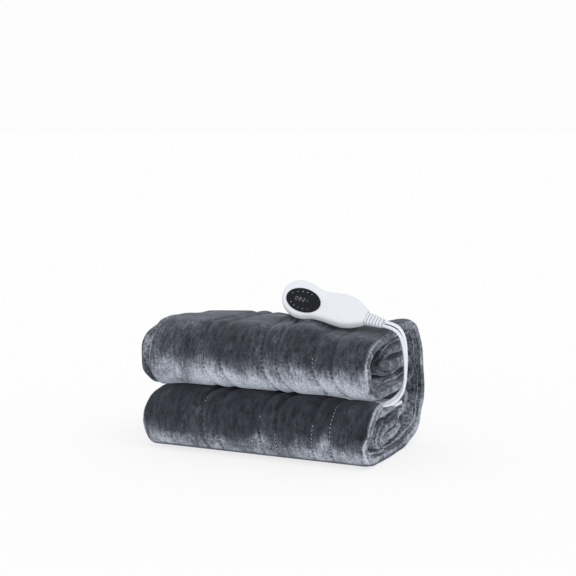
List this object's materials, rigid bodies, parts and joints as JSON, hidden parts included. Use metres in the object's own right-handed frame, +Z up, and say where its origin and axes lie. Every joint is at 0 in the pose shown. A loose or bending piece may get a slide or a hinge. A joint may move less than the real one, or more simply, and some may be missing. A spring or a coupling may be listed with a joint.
{
  "type": "electric heated blanket",
  "caption": "Folded plush electric blanket with a handset on top, its leads looping into the fold and the mains lead coiled behind.",
  "frame": {"origin": "centre of the folded blanket's underside, leads left out", "axes": "+X along the folded bundle towards the end where the leads come out, +Y towards its back, away from the front nose folds, +Z up"},
  "size_m": [0.4414, 0.3735, 0.2671],
  "materials": {
    "plush": "cut-pile plush, dark slate grey with a silvery sheen where the pile turns",
    "white_shell": "satin moulded white",
    "black_window": "gloss black window with faint pale marks",
    "white_sleeve": "satin soft white, ribbed",
    "white_lead": "satin white flexible sheath",
    "white_connector": "satin moulded white",
    "black_tie": "matt black woven hook-and-loop band",
    "white_plug": "satin moulded white",
    "plated_pin": "nickel-plated brass"
  },
  "bodies": {
    "root": {"blanket": "plush", "handset_body": "white_shell", "handset_display": "black_window", "strain_relief": "white_sleeve", "blanket_lead": "white_lead", "mains_lead": "white_lead", "mains_lead_end": "white_lead", "blanket_connector": "white_connector", "mains_coil": "white_lead", "coil_tie": "black_tie", "mains_plug": "white_plug", "plug_pin_1": "plated_pin", "plug_pin_2": "plated_pin"}
  },
  "joints": []
}
